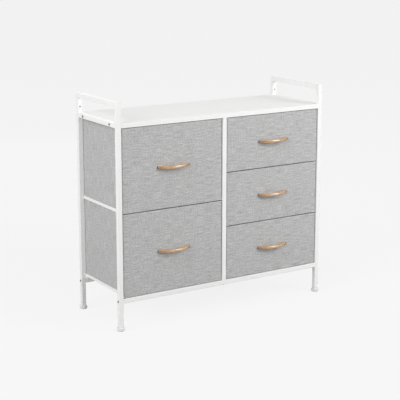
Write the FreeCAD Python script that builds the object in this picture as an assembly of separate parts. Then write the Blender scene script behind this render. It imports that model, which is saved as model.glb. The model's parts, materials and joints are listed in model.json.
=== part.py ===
import FreeCAD, Part
import os

# Chest of five fabric drawers in a steel tube frame.
# X runs along the width, -Y is the front and +Z is up. The origin is on the floor,
# under the centre of the whole object with its handles. Lengths are in millimetres.

# Overall size of the tube frame, with its height measured from the floor
frame_width = 850.0
frame_depth = 300.0
frame_height = 787.0

# Square steel tube of every post and rail
tube = 16.0
tube_wall = 1.2
tube_corner = 1.5

# Heights: the feet and the bottom rails from the floor, the board from the top of the
# frame, and the wall fixing holes from the board
foot_height = 15.0
bottom_rail_base = 97.5
board_drop = 70.0
board_thickness = 16.0
board_edge = 1.0
wall_hole_rise = 21.0

# Drawers: gaps round them and how far they stand back from the posts' faces
front_setback = 3.0
rear_setback = 7.0
side_gap = 3.0
lowest_gap = 2.0
level_gap = 2.6
highest_gap = 2.0
lowest_skirt = 7.5
skirt = 0.4

# Fabric boxes of the drawers and the boards in them
fabric_wall = 1.5
fabric_edge = 1.2
front_board_thickness = 3.0
front_board_drop = 1.0
base_board_thickness = 3.0
board_play = 0.5
seat_gap = 0.3

# Folded sheet runners
runner_sheet = 1.2
runner_flange = 12.0
runner_ledge = 17.0
runner_bend = 1.8
runner_setback = 7.0
runner_rear_margin = 3.0
stop_tab_height = 9.0
stop_tab_gap = 1.0

# Bowed wooden handles
handle_length = 128.0
handle_stand = 27.0
handle_thickness = 10.0
handle_width = 11.0
handle_foot = 18.0
handle_end = 5.0
handle_front_edge = 4.2
handle_back_edge = 3.5

# Handle screws
screw_radius = 2.0
screw_depth = 7.5
screw_head_radius = 3.8
screw_head_height = 2.2

# Frame bolts and what they screw into
bolt_radius = 3.0
bolt_head_radius = 4.3
bolt_head_height = 2.4
bolt_head_edge = 1.2
socket_across = 4.0
socket_depth = 1.6
hole_play = 0.25
thread_play = 0.05
insert_length = 14.0
insert_play = 0.1

# Bolts that hold the top board, with their barrel nuts
board_bolt_inset = 52.0
barrel_radius = 5.0
barrel_length = 12.0
barrel_setback = 22.0
barrel_play = 0.1

# Screws from the middle bar up into the top board
bar_screw_inset = 54.0
bar_screw_depth = 11.0

# Wall fixing holes through the rear posts
wall_hole_radius = 3.0

# Screw-in glides under the posts
foot_radius = 13.5
foot_edge = 4.0
foot_top_edge = 1.5
foot_collar_radius = 7.5
foot_collar_height = 2.0
foot_seat_gap = 0.2
stud_radius = 3.9
stud_play = 0.1
stud_length = 20.0
leg_insert_length = 27.0
leg_insert_floor = 3.0

# Names of the drawers in each column, from the lowest up
drawer_names = {"left": ["lower", "upper"], "right": ["lower", "middle", "upper"]}

# Places worked out from the sizes above
foot_overhang = foot_radius - tube / 2
front_y = (handle_stand - front_setback - foot_overhang) / 2 - frame_depth / 2
rear_y = front_y + frame_depth
front_post_y = front_y + tube / 2
rear_post_y = rear_y - tube / 2
outer_x = frame_width / 2
post_x = outer_x - tube / 2
bay_x = outer_x - tube
middle_x = tube / 2
rail_z = bottom_rail_base + tube / 2
rail_top = bottom_rail_base + tube
board_top = frame_height - board_drop
board_base = board_top - board_thickness
board_rail_z = board_top - tube / 2
board_middle_z = board_top - board_thickness / 2
wall_hole_z = board_top + wall_hole_rise
tube_inside = tube - 2 * tube_wall
drawer_front_y = front_y + front_setback
drawer_rear_y = rear_y - rear_setback


def vector(x, y, z):
    return FreeCAD.Vector(x, y, z)


def block(x_range, y_range, z_range):
    """Box between pairs of limits."""
    x, y, z = min(x_range), min(y_range), min(z_range)
    size = [max(limits) - min(limits) for limits in (x_range, y_range, z_range)]
    return Part.makeBox(*size, vector(x, y, z))


def placed(shape, position, direction):
    """Turns a shape that was made along +Z to the direction and moves it to the position."""
    turned = shape.copy()
    turned.Placement = FreeCAD.Placement(position, FreeCAD.Rotation(vector(0, 0, 1), direction))
    return turned


def rod(start, end, radius):
    axis = end - start
    return Part.makeCylinder(radius, axis.Length, start, axis)


def square_bar(start, end, side, corner):
    """Square bar with rounded long edges."""
    axis = end - start
    bar = Part.makeBox(side, side, axis.Length, vector(-side / 2, -side / 2, 0))
    long_edges = [edge for edge in bar.Edges if abs(edge.tangentAt(edge.FirstParameter).z) > 0.5]
    return placed(bar.makeFillet(corner, long_edges), start, axis)


def square_tube(start, end):
    inner_corner = max(tube_corner - tube_wall, tube_corner / 5)
    outside = square_bar(start, end, tube, tube_corner)
    return outside.cut(square_bar(start, end, tube_inside, inner_corner))


def insert(start, direction, length, hole_radius, floor=0.0):
    """Square plug with a threaded hole that starts at its open end."""
    side = tube_inside - 2 * insert_play
    plug = square_bar(start, start + direction * length, side, tube_corner / 2)
    return plug.cut(rod(start, start + direction * (length - floor), hole_radius))


def socket_bolt(seat, direction, shank_length):
    """Button-head bolt: the seat is under its head and the direction runs along its shank."""
    head = Part.makeCylinder(bolt_head_radius, bolt_head_height)
    rim = [edge for edge in head.Edges if edge.BoundBox.ZMin > bolt_head_height / 2]
    head = head.makeFillet(bolt_head_edge, rim)
    corner = vector(socket_across / 3 ** 0.5, 0, 0)
    turns = [FreeCAD.Rotation(vector(0, 0, 1), 60 * i) for i in range(7)]
    hexagon = Part.Face(Part.makePolygon([turn.multVec(corner) for turn in turns]))
    hexagon.translate(vector(0, 0, bolt_head_height - socket_depth))
    head = head.cut(hexagon.extrude(vector(0, 0, bolt_head_height)))
    shank = Part.makeCylinder(bolt_radius, shank_length, vector(0, 0, -shank_length))
    return placed(head.fuse(shank).removeSplitter(), seat, -direction)


def pan_screw(seat, direction, shank_length):
    """Pan-head screw: the seat is under its head and the direction runs along its shank."""
    head = Part.makeCylinder(screw_head_radius, screw_head_height)
    rim = [edge for edge in head.Edges if edge.BoundBox.ZMin > screw_head_height / 2]
    head = head.makeFillet(screw_head_height / 2, rim)
    shank = Part.makeCylinder(screw_radius, shank_length, vector(0, 0, -shank_length))
    return placed(head.fuse(shank).removeSplitter(), seat, -direction)


def mitre_wedge(side, y_corner, inward, lower):
    """Triangle that trims a post or the top rail at a top corner of an end frame.

    inward is +1 at the front corner and -1 at the rear one. lower picks the half that
    the post fills, which is the half to take off the rail.
    """
    top = frame_height
    points = [vector(0, y_corner, top), vector(0, y_corner + inward * tube, top - tube)]
    if lower:
        points.append(vector(0, y_corner, top - tube))
    else:
        points.append(vector(0, y_corner + inward * tube, top))
    face = Part.Face(Part.makePolygon(points + points[:1]))
    face.translate(vector(side * post_x - tube, 0, 0))
    return face.extrude(vector(2 * tube, 0, 0))


def end_post(side, front):
    """Post of an end frame: mitred at its top, drilled for the bottom rail's bolt."""
    y = front_post_y if front else rear_post_y
    post = square_tube(vector(side * post_x, y, foot_height), vector(side * post_x, y, frame_height))
    y_corner, inward = (front_y, 1) if front else (rear_y, -1)
    post = post.cut(mitre_wedge(side, y_corner, inward, lower=False))
    reach = vector(tube, 0, 0)
    bolt_centre = vector(side * post_x, y, rail_z)
    post = post.cut(rod(bolt_centre - reach, bolt_centre + reach, bolt_radius + hole_play))
    if not front:
        hole_centre = vector(side * post_x, y, wall_hole_z)
        reach = vector(0, tube, 0)
        post = post.cut(rod(hole_centre - reach, hole_centre + reach, wall_hole_radius))
    return post


def top_rail(side):
    z = frame_height - tube / 2
    rail = square_tube(vector(side * post_x, front_y, z), vector(side * post_x, rear_y, z))
    rail = rail.cut(mitre_wedge(side, front_y, 1, lower=True))
    return rail.cut(mitre_wedge(side, rear_y, -1, lower=True))


def board_bolt_places():
    """Y of the two bolts that hold each end of the top board."""
    return [front_y + board_bolt_inset, rear_y - board_bolt_inset]


def board_rail(side):
    x = side * post_x
    rail = square_tube(vector(x, front_y + tube, board_rail_z), vector(x, rear_y - tube, board_rail_z))
    for y in board_bolt_places():
        start = vector(x - tube, y, board_middle_z)
        rail = rail.cut(rod(start, start + vector(2 * tube, 0, 0), bolt_radius + hole_play))
    return rail


def bottom_rail(y):
    """Front or rear bottom rail, drilled upwards for the middle post's bolt."""
    rail = square_tube(vector(-bay_x, y, rail_z), vector(bay_x, y, rail_z))
    reach = vector(0, 0, tube)
    centre = vector(0, y, rail_z)
    return rail.cut(rod(centre - reach, centre + reach, bolt_radius + hole_play))


def middle_post(y):
    return square_tube(vector(0, y, rail_top), vector(0, y, board_base))


def bar_screw_places():
    """Y of the screws that fasten the middle bar to the top board."""
    return [front_y + bar_screw_inset, rear_y - bar_screw_inset]


def middle_top_bar():
    z = board_base - tube / 2
    bar = square_tube(vector(0, front_y + tube, z), vector(0, rear_y - tube, z))
    for y in bar_screw_places():
        start = vector(0, y, board_base - 2 * tube)
        bar = bar.cut(rod(start, vector(0, y, board_base), screw_radius + hole_play))
    return bar


def top_board():
    """Board between the end frames, with holes for its bolts, barrel nuts and screws."""
    board = block((-bay_x, bay_x), (front_y, rear_y), (board_base, board_top))
    long_edges = [edge for edge in board.Edges if edge.BoundBox.XLength > bay_x]
    board = board.makeFillet(board_edge, long_edges)
    hole_depth = barrel_setback + barrel_radius + barrel_play
    for side in (-1, 1):
        for y in board_bolt_places():
            end = vector(side * bay_x, y, board_middle_z)
            inside = end - vector(side * hole_depth, 0, 0)
            board = board.cut(rod(end, inside, bolt_radius + hole_play))
            nut_x = side * (bay_x - barrel_setback)
            pocket_top = board_middle_z + barrel_length / 2 + barrel_play
            pocket = rod(vector(nut_x, y, board_base), vector(nut_x, y, pocket_top), barrel_radius + barrel_play)
            board = board.cut(pocket)
    for y in bar_screw_places():
        start = vector(0, y, board_base)
        board = board.cut(rod(start, start + vector(0, 0, bar_screw_depth + thread_play), screw_radius + thread_play))
    return board


def runner(face_x, inward, ledge_top):
    """L-shaped runner on a post's face, with a stop tab bent up behind the drawer."""
    low = ledge_top - runner_sheet
    start = front_y + runner_setback
    ledge_end = drawer_rear_y + stop_tab_gap + runner_sheet
    flange_end = rear_y - runner_rear_margin
    points = [(0, 0), (runner_ledge, 0), (runner_ledge, runner_sheet), (runner_sheet, runner_sheet)]
    points += [(runner_sheet, runner_flange), (0, runner_flange), (0, 0)]
    profile = Part.Face(Part.makePolygon([vector(x, 0, z) for x, z in points]))
    angle = profile.extrude(vector(0, ledge_end - start, 0))
    for x, z, radius in ((0, 0, runner_bend), (runner_sheet, runner_sheet, runner_bend - runner_sheet)):
        box = [edge for edge in angle.Edges if abs(edge.CenterOfMass.x - x) + abs(edge.CenterOfMass.z - z) < 0.01]
        angle = angle.makeFillet(radius, box)
    flange = block((0, runner_sheet), (ledge_end - start, flange_end - start), (runner_bend, runner_flange))
    tab_limits = (ledge_end - start - runner_sheet, ledge_end - start)
    tab = block((runner_bend, runner_ledge), tab_limits, (0, runner_sheet + stop_tab_height))
    folded = angle.fuse([flange, tab]).removeSplitter()
    if inward < 0:
        folded = folded.mirror(vector(0, 0, 0), vector(1, 0, 0))
    folded.translate(vector(face_x, start, low))
    return folded


def levels(column):
    """Name, lower edge, upper edge and runner height of each drawer in a column, from the lowest up."""
    names = drawer_names[column]
    first = rail_top + lowest_gap
    last = board_base - highest_gap
    height = (last - first - level_gap * (len(names) - 1)) / len(names)
    found = []
    for i, name in enumerate(names):
        low = first + i * (height + level_gap)
        drop = lowest_skirt if i == 0 else skirt
        found.append((name, low, low + height, low + drop))
    return found


def column_limits(column):
    """X limits of the bay between the posts' faces."""
    return (-bay_x, -middle_x) if column == "left" else (middle_x, bay_x)


def drawer_limits(column):
    low, high = column_limits(column)
    return low + side_gap, high - side_gap


def handle_screw_places(column):
    """X of the two screws of a drawer's handle."""
    centre = sum(drawer_limits(column)) / 2
    offset = handle_length / 2 - handle_foot / 2
    return [centre - offset, centre + offset]


def handle_height(low, high):
    return (low + high) / 2


def fabric_box(column, low, high, ledge_top):
    """Sewn panels of an open box: a front with a skirt that hangs before the runners, a hem
    turned up behind the skirt, a back, two sides and a base."""
    x0, x1 = drawer_limits(column)
    base = ledge_top + seat_gap
    front, rear = drawer_front_y, drawer_rear_y
    inside_y = (front + fabric_wall, rear - fabric_wall)
    face = block((x0, x1), (front, front + fabric_wall), (low, high))
    face = face.makeFillet(fabric_edge, upright_edges(face, front))
    for x in handle_screw_places(column):
        start = vector(x, front - fabric_wall, handle_height(low, high))
        hole = rod(start, start + vector(0, 3 * fabric_wall, 0), screw_radius + hole_play)
        face = face.cut(hole)
    back = block((x0, x1), (rear - fabric_wall, rear), (base, high))
    back = back.makeFillet(fabric_edge, upright_edges(back, rear))
    sides = [block((x, x + fabric_wall), inside_y, (base, high)) for x in (x0, x1 - fabric_wall)]
    floor = block((x0 + fabric_wall, x1 - fabric_wall), inside_y, (base, base + fabric_wall))
    hem = block((x0, x1), (front + fabric_wall, front + 2 * fabric_wall), (low, base))
    return Part.makeCompound([face, back, *sides, floor, hem])


def upright_edges(panel, y):
    """The upright edges of a panel that lie at the given depth."""
    upright = [edge for edge in panel.Edges if edge.BoundBox.ZLength > panel.BoundBox.ZLength / 2]
    return [edge for edge in upright if abs(edge.CenterOfMass.y - y) < 0.01]


def front_board(column, low, high, ledge_top):
    """Stiff board behind the front cloth, drilled for the handle's screws."""
    x0, x1 = drawer_limits(column)
    start = drawer_front_y + fabric_wall
    inset = fabric_wall + board_play
    base = ledge_top + seat_gap + fabric_wall
    board = block((x0 + inset, x1 - inset), (start, start + front_board_thickness), (base, high - front_board_drop))
    for x in handle_screw_places(column):
        centre = vector(x, start - front_board_thickness, handle_height(low, high))
        hole = rod(centre, centre + vector(0, 3 * front_board_thickness, 0), screw_radius + hole_play)
        board = board.cut(hole)
    return board


def base_board(column, ledge_top):
    x0, x1 = drawer_limits(column)
    inset = fabric_wall + board_play
    start = drawer_front_y + fabric_wall + front_board_thickness + board_play
    base = ledge_top + seat_gap + fabric_wall
    return block((x0 + inset, x1 - inset), (start, drawer_rear_y - inset), (base, base + base_board_thickness))


def handle_blank():
    """Bow between two arcs, from the feet's flat faces at y = 0 outwards, centred on x = 0."""
    half = handle_length / 2
    inner_half = half - handle_foot
    inner_stand = handle_stand - handle_thickness
    outer = Part.Arc(vector(-half, -handle_end, 0), vector(0, -handle_stand, 0), vector(half, -handle_end, 0))
    inner = Part.Arc(vector(inner_half, 0, 0), vector(0, -inner_stand, 0), vector(-inner_half, 0, 0))
    lines = [
        Part.LineSegment(vector(-half, 0, 0), vector(-half, -handle_end, 0)),
        Part.LineSegment(vector(half, -handle_end, 0), vector(half, 0, 0)),
        Part.LineSegment(vector(half, 0, 0), vector(inner_half, 0, 0)),
        Part.LineSegment(vector(-inner_half, 0, 0), vector(-half, 0, 0)),
    ]
    order = [lines[0], outer, lines[1], lines[2], inner, lines[3]]
    outline = Part.Wire([curve.toShape() for curve in order])
    blank = Part.Face(outline).extrude(vector(0, 0, handle_width))
    blank.translate(vector(0, 0, -handle_width / 2))
    return blank


def handle_slot():
    """Straight-sided slot with round ends, as wide and as long as the handle seen from the front."""
    radius = handle_width / 2
    reach = handle_length / 2 - radius
    slot = block((-reach, reach), (0, -handle_stand), (-radius, radius))
    rounds = [rod(vector(x, 0, 0), vector(x, -handle_stand, 0), radius) for x in (-reach, reach)]
    return slot.fuse(rounds).removeSplitter()


def handle(column, low, high):
    """Bow with round ends and rounded edges, drilled from behind for its screws."""
    bow = handle_blank().common(handle_slot()).removeSplitter()
    front = min(bow.Faces, key=lambda face: face.CenterOfMass.y)
    bow = bow.makeFillet(handle_front_edge, front.Edges)
    hollow = [edge for edge in bow.Edges if is_hollow_edge(edge)]
    bow = bow.makeFillet(handle_back_edge, hollow)
    bow.translate(vector(sum(drawer_limits(column)) / 2, drawer_front_y, handle_height(low, high)))
    for x in handle_screw_places(column):
        start = vector(x, drawer_front_y, handle_height(low, high))
        bow = bow.cut(rod(start, start - vector(0, screw_depth + thread_play, 0), screw_radius + thread_play))
    return bow


def is_hollow_edge(edge):
    """True for the two long edges of the bow's inner side, which are level arcs."""
    middle = edge.valueAt((edge.FirstParameter + edge.LastParameter) / 2)
    hollow_depth = handle_stand - handle_thickness
    return edge.BoundBox.ZLength < 0.01 and abs(middle.x) < 0.01 and abs(middle.y + hollow_depth) < 0.01


def handle_screws(column, low, high):
    """Two screws from inside the drawer through the board and cloth into the handle."""
    seat_y = drawer_front_y + fabric_wall + front_board_thickness
    length = fabric_wall + front_board_thickness + screw_depth
    seats = [vector(x, seat_y, handle_height(low, high)) for x in handle_screw_places(column)]
    return Part.makeCompound([pan_screw(seat, vector(0, -1, 0), length) for seat in seats])


def foot(side, y):
    """Glide with a moulded stud, a collar against the leg and a rounded pad."""
    pad_height = foot_height - foot_seat_gap - foot_collar_height
    pad = Part.makeCylinder(foot_radius, pad_height)
    bottom = [edge for edge in pad.Edges if edge.BoundBox.ZMax < 0.01]
    pad = pad.makeFillet(foot_edge, bottom)
    top = [edge for edge in pad.Edges if edge.BoundBox.ZMin > pad_height - 0.01]
    pad = pad.makeFillet(foot_top_edge, top)
    collar = Part.makeCylinder(foot_collar_radius, foot_collar_height, vector(0, 0, pad_height))
    stud = Part.makeCylinder(stud_radius, stud_length, vector(0, 0, pad_height + foot_collar_height))
    glide = pad.fuse([collar, stud]).removeSplitter()
    glide.translate(vector(side * post_x, y, 0))
    return glide


def leg_inserts():
    """Threaded plugs in the lower ends of the four posts."""
    plugs = []
    for side in (-1, 1):
        for y in (front_post_y, rear_post_y):
            start = vector(side * post_x, y, foot_height)
            hole = stud_radius + stud_play
            plugs.append(insert(start, vector(0, 0, 1), leg_insert_length, hole, leg_insert_floor))
    return Part.makeCompound(plugs)


def bottom_rail_fasteners():
    """Bolts through the posts and the inserts that they screw into, for both bottom rails."""
    bolts, plugs = [], []
    for side in (-1, 1):
        for y in (front_post_y, rear_post_y):
            inward = vector(-side, 0, 0)
            bolts.append(socket_bolt(vector(side * outer_x, y, rail_z), inward, tube + insert_length))
            plug_start = vector(side * bay_x, y, rail_z)
            plugs.append(insert(plug_start, inward, insert_length, bolt_radius + thread_play))
    return Part.makeCompound(bolts), Part.makeCompound(plugs)


def middle_post_fasteners():
    """Bolts up through the bottom rails and the inserts in the middle posts."""
    bolts, plugs = [], []
    up = vector(0, 0, 1)
    for y in (front_post_y, rear_post_y):
        bolts.append(socket_bolt(vector(0, y, bottom_rail_base), up, tube + insert_length))
        plugs.append(insert(vector(0, y, rail_top), up, insert_length, bolt_radius + thread_play))
    return Part.makeCompound(bolts), Part.makeCompound(plugs)


def board_fasteners():
    """Bolts through the board rails and the barrel nuts that they screw into."""
    bolts, nuts = [], []
    for side in (-1, 1):
        for y in board_bolt_places():
            inward = vector(-side, 0, 0)
            length = tube + barrel_setback + barrel_radius
            bolts.append(socket_bolt(vector(side * outer_x, y, board_middle_z), inward, length))
            nut_x = side * (bay_x - barrel_setback)
            low = vector(nut_x, y, board_middle_z - barrel_length / 2)
            nut = rod(low, low + vector(0, 0, barrel_length), barrel_radius)
            cross = vector(nut_x - 2 * barrel_radius, y, board_middle_z)
            nuts.append(nut.cut(rod(cross, cross + vector(4 * barrel_radius, 0, 0), bolt_radius + thread_play)))
    return Part.makeCompound(bolts), Part.makeCompound(nuts)


def middle_bar_screws():
    """Screws up through the middle bar into the top board."""
    low = board_base - tube
    seats = [vector(0, y, low) for y in bar_screw_places()]
    return Part.makeCompound([pan_screw(seat, vector(0, 0, 1), tube + bar_screw_depth) for seat in seats])


def end_frame(column, side):
    """Posts, rails and runners of one end frame."""
    nodes = {
        f"{column}_front_post": end_post(side, front=True),
        f"{column}_rear_post": end_post(side, front=False),
        f"{column}_top_rail": top_rail(side),
        f"{column}_board_rail": board_rail(side),
    }
    for name, _, _, ledge_top in levels(column):
        nodes[f"{column}_{name}_runner"] = runner(side * bay_x, -side, ledge_top)
    return nodes


def middle_frame():
    """Middle posts, the bar between them and the runners on both of their sides."""
    nodes = {
        "middle_front_post": middle_post(front_post_y),
        "middle_rear_post": middle_post(rear_post_y),
        "middle_top_bar": middle_top_bar(),
    }
    for column, side in (("left", -1), ("right", 1)):
        runners = [runner(side * middle_x, side, ledge_top) for _, _, _, ledge_top in levels(column)]
        nodes[f"middle_{column}_runners"] = Part.makeCompound(runners)
    return nodes


def drawer(column, name, low, high, ledge_top):
    """All pieces of one drawer."""
    return {
        f"{column}_{name}_drawer_fabric": fabric_box(column, low, high, ledge_top),
        f"{column}_{name}_drawer_front_board": front_board(column, low, high, ledge_top),
        f"{column}_{name}_drawer_base_board": base_board(column, ledge_top),
        f"{column}_{name}_drawer_handle": handle(column, low, high),
        f"{column}_{name}_drawer_handle_screws": handle_screws(column, low, high),
    }


def feet():
    corners = {
        "left_front": (-1, front_post_y),
        "left_rear": (-1, rear_post_y),
        "right_front": (1, front_post_y),
        "right_rear": (1, rear_post_y),
    }
    return {f"{name}_foot": foot(side, y) for name, (side, y) in corners.items()}


def build():
    """Every node of the dresser by name."""
    nodes = {}
    for column, side in (("left", -1), ("right", 1)):
        nodes.update(end_frame(column, side))
        for level in levels(column):
            nodes.update(drawer(column, *level))
    nodes.update(middle_frame())
    nodes["front_bottom_rail"] = bottom_rail(front_post_y)
    nodes["rear_bottom_rail"] = bottom_rail(rear_post_y)
    nodes["top_board"] = top_board()
    nodes["board_bolts"], nodes["board_barrel_nuts"] = board_fasteners()
    nodes["bottom_rail_bolts"], nodes["bottom_rail_inserts"] = bottom_rail_fasteners()
    nodes["middle_post_bolts"], nodes["middle_post_inserts"] = middle_post_fasteners()
    nodes["middle_bar_screws"] = middle_bar_screws()
    nodes["leg_inserts"] = leg_inserts()
    nodes.update(feet())
    return nodes


os.makedirs("parts", exist_ok=True)
for node, shape in build().items():
    shape.exportStep(f"parts/{node}.step")
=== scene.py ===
import bpy
import json
import math
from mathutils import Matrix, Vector, noise


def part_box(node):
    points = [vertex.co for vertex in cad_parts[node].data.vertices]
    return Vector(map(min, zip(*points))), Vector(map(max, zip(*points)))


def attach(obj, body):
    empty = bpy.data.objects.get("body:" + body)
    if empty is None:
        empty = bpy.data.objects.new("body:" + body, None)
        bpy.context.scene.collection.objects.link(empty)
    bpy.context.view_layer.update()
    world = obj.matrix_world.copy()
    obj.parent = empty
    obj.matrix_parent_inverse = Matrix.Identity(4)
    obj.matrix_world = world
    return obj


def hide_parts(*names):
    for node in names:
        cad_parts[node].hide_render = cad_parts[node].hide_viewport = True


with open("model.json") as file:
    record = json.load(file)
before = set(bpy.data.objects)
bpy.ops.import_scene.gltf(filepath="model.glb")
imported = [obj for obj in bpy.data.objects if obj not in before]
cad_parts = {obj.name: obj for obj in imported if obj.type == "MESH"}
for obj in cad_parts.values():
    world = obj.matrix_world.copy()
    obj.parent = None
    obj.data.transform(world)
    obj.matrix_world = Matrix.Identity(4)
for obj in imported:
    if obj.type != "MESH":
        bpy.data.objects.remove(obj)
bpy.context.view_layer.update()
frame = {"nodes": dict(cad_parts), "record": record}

mm = 0.001  # all lengths are in metres
nodes = frame["nodes"]
drawers = sorted(name[:-len("_fabric")] for name in nodes if name.endswith("_drawer_fabric"))
print("frame loaded:", len(nodes), "nodes,", len(drawers), "drawers")


def linear(hexColour):  # sRGB hex to the linear RGBA that sockets take
    parts = [int(hexColour[i:i + 2], 16) / 255 for i in (1, 3, 5)]
    return [p / 12.92 if p <= 0.04045 else ((p + 0.055) / 1.055) ** 2.4 for p in parts] + [1.0]


def newMaterial(name):
    material = bpy.data.materials.new(name)
    material.use_nodes = True
    material.node_tree.nodes.clear()
    return material, material.node_tree


def addNode(tree, kind, inputs=None, **settings):  # one node with its settings, values and links
    made = tree.nodes.new("ShaderNode" + kind)
    for name, value in settings.items():
        setattr(made, name, value)
    for name, value in (inputs or {}).items():
        if isinstance(value, bpy.types.NodeSocket):
            tree.links.new(value, made.inputs[name])
        else:
            made.inputs[name].default_value = value
    return made


def objectPlace(tree):
    return addNode(tree, "TexCoord").outputs["Object"]


def clothPlace(tree):  # metres along the weft and the warp
    return addNode(tree, "UVMap", uv_map="clothMap").outputs[0]


def noiseValue(tree, place, size, detail=2.0, roughness=0.5, distortion=0.0, **settings):
    inputs = {"Vector": place, "Scale": 1 / size, "Detail": detail, "Roughness": roughness,
              "Distortion": distortion}
    return addNode(tree, "TexNoise", inputs, **settings).outputs[0]


noiseSpread = (0.3, 0.7)  # most values of a noise texture lie in here


def crossedWaves(tree, place, period):  # product of one sine wave along the weft and one along the warp
    along = addNode(tree, "SeparateXYZ", {0: place})
    waves = []
    for axis in ("X", "Y"):
        inputs = {0: along.outputs[axis], 1: 2 * math.pi / period}
        turns = addNode(tree, "Math", inputs, operation="MULTIPLY")
        waves.append(addNode(tree, "Math", {0: turns.outputs[0]}, operation="SINE").outputs[0])
    return addNode(tree, "Math", {0: waves[0], 1: waves[1]}, operation="MULTIPLY").outputs[0]


def remap(tree, value, spread, target=(0.0, 1.0), **settings):
    inputs = {"Value": value, "From Min": spread[0], "From Max": spread[1],
              "To Min": target[0], "To Max": target[1]}
    return addNode(tree, "MapRange", inputs, **settings).outputs[0]


def mixColours(tree, share, low, high):  # low where the share is 0, high where it is 1
    return addNode(tree, "Mix", {0: share, 6: low, 7: high}, data_type="RGBA").outputs[2]


def bumpNormal(tree, height, depth, strength):
    return addNode(tree, "Bump", {"Height": height, "Distance": depth, "Strength": strength}).outputs[0]


def finishSurface(tree, inputs):
    shader = addNode(tree, "BsdfPrincipled", inputs)
    addNode(tree, "OutputMaterial", {"Surface": shader.outputs[0]})


def smoothStep(low, high, value):
    share = min(1.0, max(0.0, (value - low) / (high - low)))
    return share * share * (3 - 2 * share)


def makeObject(name, vertices, faces, materials, faceMaterials=None, uvs=None):
    mesh = bpy.data.meshes.new(name)
    mesh.from_pydata(vertices, [], faces)
    for material in materials:
        mesh.materials.append(material)
    if faceMaterials:
        mesh.polygons.foreach_set("material_index", faceMaterials)
    if uvs:
        layer = mesh.uv_layers.new(name="clothMap")
        layer.data.foreach_set("uv", [value for corners in uvs for corner in corners for value in corner])
    mesh.polygons.foreach_set("use_smooth", [True] * len(mesh.polygons))
    made = bpy.data.objects.new(name, mesh)
    bpy.context.scene.collection.objects.link(made)
    return made


powderCoat = {
    "colour": "#f6f6f5", "shade": "#f1f1f0",
    "cloudSize": 70 * mm, "cloudDetail": 3.0,
    "roughness": 0.5, "roughnessSpread": 0.035, "ior": 1.5,
    "peelSize": 1.6 * mm, "peelDetail": 1.5, "peelDepth": 0.03 * mm, "peelStrength": 0.6,
}


def makePowderCoat():  # white polyester powder, sprayed and baked: even satin with a faint orange peel
    look = powderCoat
    material, tree = newMaterial("powderCoatedSteel")
    place = objectPlace(tree)
    cloud = noiseValue(tree, place, look["cloudSize"], look["cloudDetail"])
    peel = noiseValue(tree, place, look["peelSize"], look["peelDetail"])
    gloss = (look["roughness"] - look["roughnessSpread"], look["roughness"] + look["roughnessSpread"])
    finishSurface(tree, {
        "Base Color": mixColours(tree, cloud, linear(look["colour"]), linear(look["shade"])),
        "Roughness": remap(tree, cloud, noiseSpread, gloss),
        "IOR": look["ior"],
        "Normal": bumpNormal(tree, peel, look["peelDepth"], look["peelStrength"]),
    })
    return material


laminate = {
    "colour": "#f6f6f5", "shade": "#f3f3f2",
    "cloudSize": 160 * mm,
    "roughness": 0.75, "specular": 0.18, "ior": 1.5,
    "pearlSize": 0.9 * mm, "pearlDepth": 0.02 * mm, "pearlStrength": 0.5,
}


def makeLaminate():  # white melamine paper pressed on particle board: flat, with a fine pearl emboss
    look = laminate
    material, tree = newMaterial("whiteMelamineBoard")
    place = objectPlace(tree)
    cloud = noiseValue(tree, place, look["cloudSize"])
    pearl = addNode(tree, "TexVoronoi", {"Vector": place, "Scale": 1 / look["pearlSize"]},
                    feature="SMOOTH_F1")
    finishSurface(tree, {
        "Base Color": mixColours(tree, cloud, linear(look["colour"]), linear(look["shade"])),
        "Roughness": look["roughness"],
        "Specular IOR Level": look["specular"],
        "IOR": look["ior"],
        "Normal": bumpNormal(tree, pearl.outputs["Distance"], look["pearlDepth"], look["pearlStrength"]),
    })
    return material


linen = {
    "light": "#cfcfcf", "dark": "#9f9f9f",   # palest and deepest fibres of the heathered yarn
    "thread": 1.1 * mm,                      # spacing of the plain weave
    "threadTint": 0.12, "threadRise": 0.35,  # how much the weave shows in the colour and in the height
    # one line for each kind of yarn: size along the weft, size along the warp, weight, start of its noise
    "yarns": [
        (42 * mm, 2.5 * mm, 1.15, 0.0),      # slubs, drawn wider than the real 0.8 mm so that they show
        (3.4 * mm, 2.8 * mm, 1.8, 3.1),      # flecks
        (2.8 * mm, 34 * mm, 0.5, 7.3),       # thicker warp yarns
    ],
    "yarnSpread": (0.25, 0.75), "shareSpread": (-1.5, 1.5),
    "slubDepth": 0.3 * mm, "slubStrength": 0.7,
    "roughness": 0.92, "specular": 0.25, "sheen": 0.2, "sheenRoughness": 0.6,
}


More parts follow.
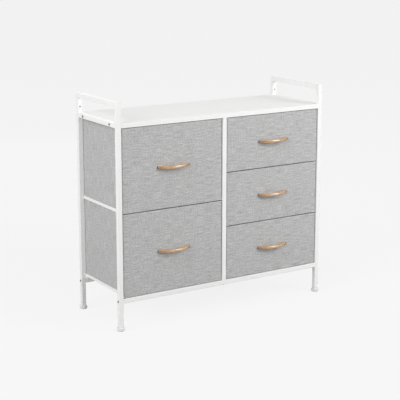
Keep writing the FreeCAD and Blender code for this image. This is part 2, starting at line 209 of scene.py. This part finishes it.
def makeLinen():  # linen-look polyester: heathered grey yarns in a plain weave, with long slubs in the weft
    look = linen
    material, tree = newMaterial("slubbedLinenWeave")
    cloth = clothPlace(tree)
    weave = crossedWaves(tree, cloth, 2 * look["thread"])
    total = 0.0
    for alongWeft, alongWarp, weight, start in look["yarns"]:
        stretched = addNode(tree, "Mapping", {"Vector": cloth, "Location": (start, start, 0.0),
                                              "Scale": (1 / alongWeft, 1 / alongWarp, 1.0)})
        yarn = noiseValue(tree, stretched.outputs[0], 1.0, noise_dimensions="2D")
        level = remap(tree, yarn, look["yarnSpread"], (-weight, weight))
        total = addNode(tree, "Math", {0: total, 1: level}, operation="ADD").outputs[0]
    share = remap(tree, total, look["shareSpread"])
    paler = addNode(tree, "Math", {0: weave, 1: look["threadTint"], 2: share}, operation="MULTIPLY_ADD")
    rise = addNode(tree, "Math", {0: weave, 1: look["threadRise"], 2: share}, operation="MULTIPLY_ADD")
    finishSurface(tree, {
        "Base Color": mixColours(tree, paler.outputs[0], linear(look["dark"]), linear(look["light"])),
        "Roughness": look["roughness"],
        "Specular IOR Level": look["specular"],
        "Sheen Weight": look["sheen"], "Sheen Roughness": look["sheenRoughness"],
        "Normal": bumpNormal(tree, rise.outputs[0], look["slubDepth"], look["slubStrength"]),
    })
    return material


lining = {
    "light": "#aaaaaa", "dark": "#8f8f8f",
    "pitch": 1.8 * mm, "bondSpread": (0.35, 0.8),  # lattice of the bond points, and how wide they are
    "fibre": 2.4 * mm, "fibreDetail": 4.0, "fibreTangle": 1.5,
    "depth": 0.12 * mm, "strength": 0.6,
    "roughness": 0.95, "specular": 0.2,
}


def makeLining():  # spunbond polypropylene: matt felt of fibres, pinched flat at a lattice of bond points
    look = lining
    material, tree = newMaterial("nonWovenLining")
    cloth = clothPlace(tree)
    pinch = remap(tree, crossedWaves(tree, cloth, look["pitch"]), look["bondSpread"])
    fibres = noiseValue(tree, cloth, look["fibre"], look["fibreDetail"], distortion=look["fibreTangle"],
                        noise_dimensions="2D")
    height = addNode(tree, "Math", {0: fibres, 1: pinch}, operation="SUBTRACT")
    finishSurface(tree, {
        "Base Color": mixColours(tree, fibres, linear(look["dark"]), linear(look["light"])),
        "Roughness": look["roughness"],
        "Specular IOR Level": look["specular"],
        "Normal": bumpNormal(tree, height.outputs[0], look["depth"], look["strength"]),
    })
    return material


thread = {"light": "#c6c6c6", "dark": "#9d9d9d", "twist": 1.1 * mm, "roughness": 0.6, "sheen": 0.2}


def makeThread():  # twisted polyester sewing thread: a little shinier than the cloth
    look = thread
    material, tree = newMaterial("polyesterThread")
    twist = noiseValue(tree, objectPlace(tree), look["twist"])
    finishSurface(tree, {
        "Base Color": mixColours(tree, twist, linear(look["dark"]), linear(look["light"])),
        "Roughness": look["roughness"],
        "Sheen Weight": look["sheen"],
    })
    return material


beech = {
    "light": "#e6b773", "dark": "#8b5624", "pore": "#6e4a2a", "endGrainAndShade": "#4a2f1b",
    "grainWidth": 1.8 * mm, "grainLength": 70 * mm, "grainDetail": 5.0, "grainBend": 0.4,
    "grainDepth": 0.05 * mm, "grainStrength": 0.3,
    "poreWidth": 0.6 * mm, "poreLength": 6 * mm, "poreSpread": (0.62, 0.78), "poreShare": 0.4,
    "endAndShadeSpread": (0.15, 0.75),  # how far a surface turns along the fibres before it darkens: real end grain at the tips, painted shade on the bow's sideways-turned parts
    "roughness": 0.36, "ior": 1.5, "coat": 1.0, "coatRoughness": 0.15, "coatIor": 2.1,
}


def makeBeech():  # steamed beech under clear lacquer: warm tan, long grain, short flecks, dark end grain, and painted shade where the bow turns sideways
    look = beech
    material, tree = newMaterial("lacqueredBeech")
    texture = addNode(tree, "TexCoord")
    place = texture.outputs["Object"]
    grainScale = (1 / look["grainLength"], 1 / look["grainWidth"], 1 / look["grainWidth"])
    poreScale = (1 / look["poreLength"], 1 / look["poreWidth"], 1 / look["poreWidth"])
    lengthwise = addNode(tree, "Mapping", {"Vector": place, "Scale": grainScale}).outputs[0]
    grain = noiseValue(tree, lengthwise, 1.0, look["grainDetail"], distortion=look["grainBend"])
    wood = mixColours(tree, remap(tree, grain, noiseSpread), linear(look["light"]), linear(look["dark"]))
    short = addNode(tree, "Mapping", {"Vector": place, "Scale": poreScale}).outputs[0]
    pores = remap(tree, noiseValue(tree, short, 1.0), look["poreSpread"], (0.0, look["poreShare"]))
    flecked = mixColours(tree, pores, wood, linear(look["pore"]))
    facing = addNode(tree, "SeparateXYZ", {0: texture.outputs["Normal"]})
    square = addNode(tree, "Math", {0: facing.outputs["X"]}, operation="ABSOLUTE")  # 1 where the fibres end; the ramp's low start also paints shade on sideways-turned faces
    # painted shade: this darkening reaches past the real end grain onto the turned ends of the bow,
    # standing in for shade
    endsAndShade = remap(tree, square.outputs[0], look["endAndShadeSpread"], interpolation_type="SMOOTHSTEP")
    finishSurface(tree, {
        "Base Color": mixColours(tree, endsAndShade, flecked, linear(look["endGrainAndShade"])),
        "Roughness": look["roughness"],
        "IOR": look["ior"],
        "Coat Weight": look["coat"], "Coat Roughness": look["coatRoughness"], "Coat IOR": look["coatIor"],
        "Normal": bumpNormal(tree, grain, look["grainDepth"], look["grainStrength"]),
    })
    return material


metals = {
    "phosphatedSteel": {"light": "#a4a4a7", "dark": "#88888b", "metallic": 0.85, "roughness": 0.45},
    "zincPlatedSteel": {"light": "#c9cdd1", "dark": "#a9adb2", "metallic": 1.0, "roughness": 0.33},
}
metalCloud = {"size": 1.4 * mm, "detail": 3.0, "roughnessSpread": 0.08}


def makeMetal(name):  # grey phosphated or zinc-plated fasteners: turned and tumbled, so faintly cloudy
    look = metals[name]
    material, tree = newMaterial(name)
    cloud = noiseValue(tree, objectPlace(tree), metalCloud["size"], metalCloud["detail"])
    gloss = [look["roughness"] + sign * metalCloud["roughnessSpread"] for sign in (-1, 1)]
    finishSurface(tree, {
        "Base Color": mixColours(tree, cloud, linear(look["dark"]), linear(look["light"])),
        "Metallic": look["metallic"],
        "Roughness": remap(tree, cloud, (0.0, 1.0), gloss),
    })
    return material


plastics = {
    "mouldedPolypropylene": {"light": "#efefee", "dark": "#e6e6e5", "roughness": 0.42, "ior": 1.49},
    "blackNylon": {"light": "#2a2a2b", "dark": "#1c1c1d", "roughness": 0.5, "ior": 1.53},
}
plasticSkin = {"flowSize": 11 * mm, "gritSize": 0.5 * mm, "gritDepth": 0.02 * mm, "gritStrength": 0.5}


def makePlastic(name):  # injection moulded: even colour, faint flow clouding and a spark-eroded surface
    look, skin = plastics[name], plasticSkin
    material, tree = newMaterial(name)
    place = objectPlace(tree)
    flow = noiseValue(tree, place, skin["flowSize"])
    grit = noiseValue(tree, place, skin["gritSize"])
    finishSurface(tree, {
        "Base Color": mixColours(tree, flow, linear(look["dark"]), linear(look["light"])),
        "Roughness": look["roughness"],
        "IOR": look["ior"],
        "Normal": bumpNormal(tree, grit, skin["gritDepth"], skin["gritStrength"]),
    })
    return material


fibreboard = {
    "light": "#b89a74", "dark": "#8f7250",
    "fibre": 1.2 * mm, "fibreDetail": 6.0, "fibreContrast": 0.7, "fibreTangle": 0.8,
    "depth": 0.05 * mm, "strength": 0.5,
    "roughness": 0.85,
}


def makeFibreboard():  # bare medium-density fibreboard: brown felted fibres, quite matt
    look = fibreboard
    material, tree = newMaterial("bareFibreboard")
    felt = noiseValue(tree, objectPlace(tree), look["fibre"], look["fibreDetail"], look["fibreContrast"],
                      look["fibreTangle"])
    share = remap(tree, felt, noiseSpread)
    finishSurface(tree, {
        "Base Color": mixColours(tree, share, linear(look["dark"]), linear(look["light"])),
        "Roughness": look["roughness"],
        "Normal": bumpNormal(tree, felt, look["depth"], look["strength"]),
    })
    return material


finishes = {
    "painted_steel": makePowderCoat(),
    "white_board": makeLaminate(),
    "fabric": makeLinen(),
    "drawer_board": makeFibreboard(),
    "handle_wood": makeBeech(),
    "dark_bolt": makeMetal("phosphatedSteel"),
    "zinc_steel": makeMetal("zincPlatedSteel"),
    "foot_plastic": makePlastic("mouldedPolypropylene"),
    "insert_plastic": makePlastic("blackNylon"),
}
liningFinish = makeLining()
threadFinish = makeThread()

for part in frame["record"]["subparts"]:
    shown = nodes[part["node"]]
    if not shown.material_slots:
        shown.data.materials.append(None)
    for materialSlot in shown.material_slots:
        materialSlot.material = finishes[part["material_slot"]]
print("materials made:", len(finishes) + 2)


# each drawer is a sewn open box of cloth, whose front is wrapped over a stiff board
clothBox = {
    "step": 7 * mm,              # size of the mesh cells
    "closeSteps": [1.5 * mm, 4 * mm, 8 * mm, 12.5 * mm, 13.5 * mm],  # smaller cells beside each corner
    "bodyRows": (4 * mm, 1.5 * mm),  # the even rows keep this far from the rows at the base and at the rim
    "frontThickness": 5.2 * mm,  # cloth, board and lining together
    "wallThickness": 1.6 * mm,
    "frontCorner": 2.4 * mm, "rearCorner": 4.5 * mm, "innerCorner": 1.0 * mm,
    "frontRim": 2.4 * mm,        # roll of the cloth over the front board's upper edge
    "wallRim": 0.9 * mm, "rimBlend": 4 * mm,
    "baseRoll": 1.2 * mm,
    "frontInnerRoll": 0.6, "wallInnerRoll": 0.4,  # how much of the rim's roll the inner surface takes
    "frontCrown": 0.5 * mm,      # how far the front swells in its middle
    "frontWave": 0.25 * mm, "frontWaveSize": 55 * mm,
    "footPull": (8 * mm, 26 * mm),  # the cloth is held flat round each foot of the handle
    "handleFoot": 9 * mm,        # middle of a handle's foot from its tip
    "wallHollow": 1.4 * mm,      # how far the loose walls sink in
    "wallWave": 0.6 * mm, "wallWaveSize": 48 * mm, "outermost": 0.3 * mm,
    "wallFold": 0.3 * mm, "foldLength": 110 * mm, "foldWidth": 18 * mm, "foldSlant": 0.6,
    "slackPower": 0.8, "slackHeight": 0.45,  # the walls are slack above this share of their height
    "rimSag": 0.4 * mm,
    "rimHeld": (0.03, 0.08),     # over this share of the depth the front board lets go of the rim
    "hemHeight": 13 * mm, "hemEdge": 0.4 * mm, "hemRise": 0.35 * mm, "innerHem": 0.6,
    "wrap": 12 * mm, "wrapEdge": 1 * mm,  # the front cloth's turn onto the sides
    "skirtDepth": (1 * mm, 3.5 * mm),     # where the skirt ends behind the front
    "tuck": 3 * mm,                       # the skirt's turned-up hem
    # rings that close the box under the walls: inset, lift, whether it follows the skirt
    "underside": [(1.45 * mm, 0.2 * mm, False), (1.3 * mm, 0.05 * mm, True)],
    "floorLift": 1.5 * mm, "floorJoin": 0.6, "floorInset": 1.0 * mm, "floorLap": 0.5 * mm,
    "floorSag": 0.8 * mm, "floorWave": 0.3 * mm, "floorWaveSize": 60 * mm, "floorStep": 14 * mm,
    "floorGaps": (0.15 * mm, 0.2 * mm),   # the two layers lie this far inside the base's thickness
    "liningRow": 4,                       # the linen turns over the rim by this many rows
    "weaveShift": (1.3, 0.7),             # moves the weave from drawer to drawer and from front to side
}
rowsFromRim = [drop * mm for drop in (13.4, 12.6, 10, 7, 4, 2.4, 1.6, 0.9, 0.4, 0.1)]
rowsFromBase = [0.0, 0.8 * mm, 2 * mm]


def spaced(low, high, step):  # even points, with closer ones beside both ends
    close = [distance for distance in clothBox["closeSteps"] if distance < (high - low) / 3]
    inner = high - low - 2 * close[-1]
    count = max(1, round(inner / step))
    middle = [low + close[-1] + inner * i / count for i in range(count + 1)]
    start = [low] + [low + distance for distance in close[:-1]]
    end = [high - distance for distance in reversed(close[:-1])] + [high]
    return start + middle + end


def drawerShape(drawer, seed):  # the sizes of one drawer's cloth, from its solids
    low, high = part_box(drawer + "_fabric")
    boardLow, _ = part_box(drawer + "_front_board")
    handleLow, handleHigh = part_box(drawer + "_handle")
    inset = clothBox["handleFoot"]
    return {
        "x0": low.x, "x1": high.x, "front": low.y, "rear": high.y, "skirt": low.z, "top": high.z,
        "base": boardLow.z - clothBox["floorLift"], "seed": seed,
        "feet": [handleLow.x + inset, handleHigh.x - inset], "handleZ": (handleLow.z + handleHigh.z) / 2,
    }


def boxRing(shape):  # points round the box from above: panel, outer and inner point, and the way outwards
    look = clothBox
    x0, x1, front, rear = (shape[key] for key in ("x0", "x1", "front", "rear"))
    wall, inner = look["wallThickness"], look["innerCorner"]
    innerFront = front + look["frontThickness"]
    corners = [(x0, front), (x1, front), (x1, rear), (x0, rear)]
    innerCorners = [(x0 + wall, innerFront), (x1 - wall, innerFront), (x1 - wall, rear - wall),
                    (x0 + wall, rear - wall)]
    inwards = [(1, 1), (-1, 1), (-1, -1), (1, -1)]
    radii = [look["frontCorner"], look["frontCorner"], look["rearCorner"], look["rearCorner"]]
    directions = {"front": (0.0, -1.0), "right": (1.0, 0.0), "back": (0.0, 1.0), "left": (-1.0, 0.0)}
    ring = []
    for i, panel in enumerate(directions):
        j = (i + 1) % 4
        axis = 0 if panel in ("front", "back") else 1
        sense = 1 if corners[j][axis] > corners[i][axis] else -1
        a, b = corners[i][axis] + sense * radii[i], corners[j][axis] - sense * radii[j]
        c, d = innerCorners[i][axis] + sense * inner, innerCorners[j][axis] - sense * inner
        for value in spaced(min(a, b), max(a, b), look["step"])[::sense]:
            other = c + (d - c) * (value - a) / (b - a)
            outer = (value, corners[i][1]) if axis == 0 else (corners[i][0], value)
            inside = (other, innerCorners[i][1]) if axis == 0 else (innerCorners[i][0], other)
            ring.append((panel, outer, inside, directions[panel]))
        centre = [corners[j][k] + inwards[j][k] * radii[j] for k in (0, 1)]
        innerCentre = [innerCorners[j][k] + inwards[j][k] * inner for k in (0, 1)]
        startAngle = math.atan2(directions[panel][1], directions[panel][0])
        for turn in (math.pi / 8, math.pi / 4, 3 * math.pi / 8):
            way = (math.cos(startAngle + turn), math.sin(startAngle + turn))
            outer = (centre[0] + radii[j] * way[0], centre[1] + radii[j] * way[1])
            inside = (innerCentre[0] + inner * way[0], innerCentre[1] + inner * way[1])
            ring.append((panel + "Corner", outer, inside, way))
    return ring


def rimHeight(shape, x, y):  # the rim sinks a little between the corners of the loose walls
    across = min(1.0, max(0.0, (x - shape["x0"]) / (shape["x1"] - shape["x0"])))
    along = min(1.0, max(0.0, (y - shape["front"]) / (shape["rear"] - shape["front"])))
    middle = max(math.sin(math.pi * along), math.sin(math.pi * across))
    loose = smoothStep(*clothBox["rimHeld"], along) * middle
    return shape["top"] - clothBox["rimSag"] * loose


def baseHeight(shape, y):  # the skirt hangs below the base at the front alone
    behind = smoothStep(*clothBox["skirtDepth"], y - shape["front"])
    return shape["skirt"] + (shape["base"] - shape["skirt"]) * behind


def wave(shape, x, y, z, size, shift):  # smooth noise, another part of it for each drawer and each shift
    return noise.noise(Vector((x / size + shape["seed"] * 3.7, y / size + shift, z / size)))


def roundOff(distance, radius):  # how far a surface draws back where it rolls over an edge
    if distance >= radius:
        return 0.0
    return radius - math.sqrt(max(0.0, radius ** 2 - (radius - distance) ** 2))


def clothShift(shape, panel, x, y, z):  # how far the cloth's two surfaces stand out from the plain box
    look = clothBox
    low, high = baseHeight(shape, y), rimHeight(shape, x, y)
    up = (z - low) / (high - low)
    depth = y - shape["front"]
    rimShare = smoothStep(0.0, look["rimBlend"], depth)
    rimRadius = look["frontRim"] + (look["wallRim"] - look["frontRim"]) * rimShare
    rimRoll = roundOff(high - z, rimRadius)
    roll = max(rimRoll, roundOff(z - low, look["baseRoll"]))
    across = (x - shape["x0"]) / (shape["x1"] - shape["x0"])
    if panel == "front":
        dome = max(0.0, math.sin(math.pi * across) * math.sin(math.pi * up))
        swell = look["frontCrown"] * math.sqrt(dome)
        swell += look["frontWave"] * wave(shape, x, 0, z, look["frontWaveSize"], 1.0)
        near = min(math.hypot(x - footX, z - shape["handleZ"]) for footX in shape["feet"])
        return swell * smoothStep(*look["footPull"], near) - roll, look["frontInnerRoll"] * rimRoll
    if panel in ("frontCorner", "leftCorner"):
        return -roll, look["wallInnerRoll"] * rimRoll
    hemFrom, hemTo = look["hemHeight"] + look["hemEdge"], look["hemHeight"] - look["hemEdge"]
    hem = look["hemRise"] * smoothStep(hemFrom, hemTo, high - z)
    span, wrapped = depth / (shape["rear"] - shape["front"]), 0.0
    if panel in ("left", "right"):
        start = smoothStep(look["frontCorner"], 2 * look["frontCorner"], depth)
        hem *= start
        past = smoothStep(look["wrap"], look["wrap"] + look["wrapEdge"], depth)
        wrapped = look["hemRise"] * start * (1 - past)
    elif panel == "back":
        span = across
    else:
        span = 0.0
    loose = math.sin(math.pi * min(1.0, max(0.0, span))) ** look["slackPower"]
    loose *= smoothStep(0.0, look["slackHeight"], up)
    slanted = (y + z * look["foldSlant"]) / look["foldWidth"] + shape["seed"]
    crease = noise.noise(Vector((x / look["foldLength"], slanted, 2.0)))
    cloth = look["wallWave"] * wave(shape, x, y, z, look["wallWaveSize"], 5.0) + look["wallFold"] * crease
    cloth = min(cloth - look["wallHollow"], look["outermost"]) * loose
    inner = cloth - look["innerHem"] * hem + look["wallInnerRoll"] * rimRoll
    return cloth + max(hem, wrapped) - roll, inner


def clothRows(shape, x, y):  # heights of the mesh rows at one point of the ring
    low, high = baseHeight(shape, y), rimHeight(shape, x, y)
    plain = shape["top"] - shape["base"] - rowsFromRim[0]
    stretch = (high - low - rowsFromRim[0]) / plain
    first, last = clothBox["bodyRows"]
    body = rowsFromBase + spaced(first, plain - last, clothBox["step"])
    return [low + height * stretch for height in body] + [high - drop for drop in rowsFromRim]


def wallRings(shape, ring):  # rings of points up the outside, over the rim, down the inside and underneath
    look = clothBox
    heights = [clothRows(shape, *outer) for _, outer, _, _ in ring]
    count = len(heights[0])
    floorTop = shape["base"] + look["floorJoin"] * look["floorLift"]
    rings = []
    for row in range(count):
        points = []
        for rows, (panel, outer, _, way) in zip(heights, ring):
            out = clothShift(shape, panel, *outer, rows[row])[0]
            points.append((outer[0] + way[0] * out, outer[1] + way[1] * out, rows[row]))
        rings.append(points)
    rings.append([((outer[0] + inside[0]) / 2, (outer[1] + inside[1]) / 2, rimHeight(shape, *outer))
                  for _, outer, inside, _ in ring])
    for row in reversed(range(count)):
        points = []
        for rows, (panel, outer, inside, way) in zip(heights, ring):
            out = clothShift(shape, panel, *outer, rows[row])[1]
            high = rimHeight(shape, *outer)
            z = high - (high - rows[row]) * (high - floorTop) / (high - rows[0])
            points.append((inside[0] + way[0] * out, inside[1] + way[1] * out, z))
        rings.append(points)
    for inset, lift, follows in look["underside"]:
        points = []
        for _, (x, y), _, way in ring:
            under = baseHeight(shape, y) if follows else shape["base"]
            insetY = max(y - way[1] * inset, shape["front"] + look["tuck"])
            points.append((x - way[0] * inset, insetY, under + lift))
        rings.append(points)
    return rings


def floorCloth(shape, start):  # the two layers round the base board: points, faces and each face's material
    look = clothBox
    x0, x1, front, rear = (shape[key] for key in ("x0", "x1", "front", "rear"))
    inset = look["floorInset"]
    lowGap, highGap = look["floorGaps"]
    columns = spaced(x0 + inset, x1 - inset, look["floorStep"])
    rows = spaced(front + look["tuck"] - look["floorLap"], rear - inset, look["floorStep"])
    points, faces, marks = [], [], []
    for layer in (0, 1):
        for y in rows:
            for x in columns:
                across, along = (x - x0) / (x1 - x0), (y - front) / (rear - front)
                slack = math.sin(math.pi * across) * math.sin(math.pi * along)
                ripple = look["floorWave"] * wave(shape, x, y, 0, look["floorWaveSize"], 9.0)
                lower = shape["base"] + lowGap - look["floorSag"] * slack ** 2 + slack * ripple
                upper = shape["base"] + look["floorLift"] - highGap
                points.append((x, y, lower if layer == 0 else upper))
    wide, deep = len(columns), len(rows)
    size = wide * deep
    for layer in (0, 1):
        for row in range(deep - 1):
            for column in range(wide - 1):
                a = start + layer * size + row * wide + column
                quad = (a, a + wide, a + wide + 1, a + 1)
                faces.append(quad if layer == 0 else tuple(reversed(quad)))
                marks.append(layer)
    edge = list(range(wide)) + [row * wide + wide - 1 for row in range(1, deep)]
    edge += [(deep - 1) * wide + column for column in reversed(range(wide - 1))]
    edge += [row * wide for row in reversed(range(1, deep - 1))]
    for a, b in zip(edge, edge[1:] + edge[:1]):
        faces.append((start + a, start + b, start + size + b, start + size + a))
        marks.append(0)
    return points, faces, marks


def makeClothBox(drawer, seed):
    shape = drawerShape(drawer, seed)
    ring = boxRing(shape)
    rings = wallRings(shape, ring)
    count, total = len(ring), len(rings)
    rim = (total - 3) // 2  # number of the ring along the top of the rim
    liningStart, liningEnd = rim + clothBox["liningRow"], total - len(clothBox["underside"])
    drawerShift, sideShift = seed * clothBox["weaveShift"][0], clothBox["weaveShift"][1]
    vertices = [point for points in rings for point in points]
    faces, marks, uvs = [], [], []
    for level in range(total):
        here, there = level * count, (level + 1) % total * count
        for i in range(count):
            j = (i + 1) % count
            faces.append((here + i, here + j, there + j, there + i))
            marks.append(1 if liningStart < level < liningEnd else 0)
            corners = [vertices[vertex] for vertex in faces[-1]]
            if ring[i][0].startswith(("left", "right")):  # the weft runs upwards on the sides
                uvs.append([(z + drawerShift, y + sideShift) for x, y, z in corners])
            else:
                overRim = 1 if level in (rim, rim - 1) else 0
                uvs.append([(x + drawerShift, z + overRim * y) for x, y, z in corners])
    points, floorFaces, floorMarks = floorCloth(shape, len(vertices))
    vertices += points
    faces += floorFaces
    marks += floorMarks
    uvs += [[(vertices[vertex][0] + seed, vertices[vertex][1]) for vertex in face] for face in floorFaces]
    made = makeObject(drawer + "_cloth", vertices, faces, [finishes["fabric"], liningFinish], marks, uvs)
    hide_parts(drawer + "_fabric")
    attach(made, drawer)
    makeStitching(drawer, shape, ring)


stitching = {
    "length": 2.9 * mm, "pitch": 4.1 * mm, "radius": 0.28 * mm, "sides": 6,
    "profile": [(-1.0, 0.12), (-0.8, 0.75), (-0.3, 1.0), (0.3, 1.0), (0.8, 0.75), (1.0, 0.12)],
    "inset": 9.5 * mm,          # below the rim
    "seamInset": 2.5 * mm,      # from the edge of the front cloth's turn onto the sides
    "seamClear": 1.5 * mm,      # the hem's stitches keep this far from that seam
    "seamStart": 6 * mm, "seamStep": 7 * mm,  # above the base, and between the seam's measured points
}


def onCloth(shape, point, z, side):  # a point on the cloth's outer or inner surface
    panel, outer, inside, way = point
    out = clothShift(shape, panel, *outer, z)[side]
    start = outer if side == 0 else inside
    return Vector((start[0] + way[0] * out, start[1] + way[1] * out, z))


def makeStitching(drawer, shape, ring):  # stitches along the hems and the front cloth's turned edges
    paths = []
    seamY = shape["front"] + clothBox["wrap"] - stitching["seamInset"]
    hemY = seamY + stitching["seamClear"]
    for panel in ("left", "right", "back"):
        wall = [point for point in ring if point[0] == panel and point[1][1] > hemY]
        for side in (0, 1):
            paths.append([onCloth(shape, point, rimHeight(shape, *point[1]) - stitching["inset"], side)
                          for point in wall])
        if panel != "back":
            sidePoints = [point for point in ring if point[0] == panel]
            seam = min(sidePoints, key=lambda point: abs(point[1][1] - seamY))
            low, rise = shape["base"] + stitching["seamStart"], stitching["seamStep"]
            count = int((shape["top"] - stitching["inset"] - low) / rise)
            paths.append([onCloth(shape, seam, low + i * rise, 0) for i in range(count + 1)])
    made = makeStitches(drawer + "_stitching", paths)
    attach(made, drawer)


def makeStitches(name, paths):  # one small rounded lozenge for each stitch, half sunk in the cloth
    half, radius, sides = stitching["length"] / 2, stitching["radius"], stitching["sides"]
    stations = stitching["profile"]
    turns = [2 * math.pi * i / sides for i in range(sides)]
    vertices, faces = [], []
    for path in paths:
        travelled, wanted = 0.0, stitching["pitch"]
        for a, b in zip(path, path[1:]):
            span = (b - a).length
            direction = (b - a).normalized()
            across = direction.orthogonal().normalized()
            other = direction.cross(across)
            while travelled + span > wanted:
                middle = a + direction * (wanted - travelled)
                start = len(vertices)
                for reach, width in stations:
                    for turn in turns:
                        spoke = (across * math.cos(turn) + other * math.sin(turn)) * radius * width
                        vertices.append(tuple(middle + direction * half * reach + spoke))
                for s in range(len(stations) - 1):
                    low, high = start + s * sides, start + (s + 1) * sides
                    faces += [(low + k, low + (k + 1) % sides, high + (k + 1) % sides, high + k)
                              for k in range(sides)]
                faces.append(tuple(start + k for k in reversed(range(sides))))
                faces.append(tuple(start + (len(stations) - 1) * sides + k for k in range(sides)))
                wanted += stitching["pitch"]
            travelled += span
    return makeObject(name, vertices, faces, [threadFinish])


for seed, drawer in enumerate(drawers):
    makeClothBox(drawer, seed)
print("drawer cloth made:", len(drawers), "boxes")


# the floor throws light up like light grey paint, and to the eye it is mostly plain pale paper
stage = {
    "floor": "#bcbcbc", "paper": "#fdfdfd", "paperShare": 0.872, "background": "#f6f6f6",
    "halfSize": 60.0, "cells": 8, "skyStrength": 0.49,
}


def seenDirectly(tree):  # 1 for camera, glossy and transmission rays
    ray = addNode(tree, "LightPath").outputs
    seen = addNode(tree, "Math", {0: ray["Is Camera Ray"], 1: ray["Is Glossy Ray"]}, operation="MAXIMUM")
    inputs = {0: seen.outputs[0], 1: ray["Is Transmission Ray"]}
    return addNode(tree, "Math", inputs, operation="MAXIMUM").outputs[0]


def makeStage():
    look = stage
    material, tree = newMaterial("paleFloor")
    paint = addNode(tree, "BsdfDiffuse", {"Color": linear(look["floor"]), "Roughness": 1.0})
    paper = addNode(tree, "Emission", {"Color": linear(look["paper"]), "Strength": 1.0})
    share = addNode(tree, "Math", {0: seenDirectly(tree), 1: look["paperShare"]}, operation="MULTIPLY")
    blend = addNode(tree, "MixShader", {0: share.outputs[0], 1: paint.outputs[0], 2: paper.outputs[0]})
    addNode(tree, "OutputMaterial", {"Surface": blend.outputs[0]})
    reach, cells = look["halfSize"], look["cells"]
    steps = [-reach + 2 * reach * i / cells for i in range(cells + 1)]
    vertices = [(x, y, 0.0) for y in steps for x in steps]
    corners = [j * (cells + 1) + i for j in range(cells) for i in range(cells)]
    faces = [(a, a + 1, a + cells + 2, a + cells + 1) for a in corners]
    makeObject("floor", vertices, faces, [material])

    world = bpy.data.worlds.new("studio")
    bpy.context.scene.world = world
    world.use_nodes = True
    tree = world.node_tree
    tree.nodes.clear()
    light = addNode(tree, "Background", {"Color": (1.0, 1.0, 1.0, 1.0), "Strength": look["skyStrength"]})
    shown = addNode(tree, "Background", {"Color": linear(look["background"]), "Strength": 1.0})
    blend = addNode(tree, "MixShader", {0: seenDirectly(tree), 1: light.outputs[0], 2: shown.outputs[0]})
    addNode(tree, "OutputWorld", {"Surface": blend.outputs[0]})


lamps = {
    "keyLamp": {"place": (1.5, -2.1, 1.7), "size": 1.6, "power": 45.0},    # from the right and in front
    "fillLamp": {"place": (-3.0, -0.9, 1.7), "size": 2.4, "power": 57.0},  # broader, from the left
    "rearLamp": {"place": (0.8, 3.0, 1.6), "size": 2.4, "power": 21.0},    # weak, from behind
}
lampTarget = (0.0, 0.0, 0.42)


def makeLamps():
    for name, look in lamps.items():
        data = bpy.data.lights.new(name, "AREA")
        data.shape = "DISK"
        data.size = look["size"]
        data.energy = look["power"]
        made = bpy.data.objects.new(name, data)
        made.location = look["place"]
        made.rotation_mode = "QUATERNION"
        made.rotation_quaternion = (Vector(lampTarget) - made.location).to_track_quat("-Z", "Y")
        bpy.context.scene.collection.objects.link(made)


cameraView = {
    "place": (-2.1891, -3.4437, 1.3415), "turn": 32.279, "tilt": 12.063,
    "lens": 103.89, "sensor": 36.0, "shift": -0.06, "reach": 200.0,
}


def makeCamera():
    look = cameraView
    data = bpy.data.cameras.new("camera")
    data.lens = look["lens"]
    data.sensor_width = look["sensor"]
    data.shift_y = look["shift"]
    data.clip_end = look["reach"]
    made = bpy.data.objects.new("camera", data)
    made.location = look["place"]
    made.rotation_euler = (math.radians(90 - look["tilt"]), 0.0, -math.radians(look["turn"]))
    bpy.context.scene.collection.objects.link(made)
    bpy.context.scene.camera = made


makeStage()
makeLamps()
makeCamera()
bpy.context.scene.view_settings.view_transform = "Standard"
print("stage, lamps and camera made")

bpy.context.view_layer.update()
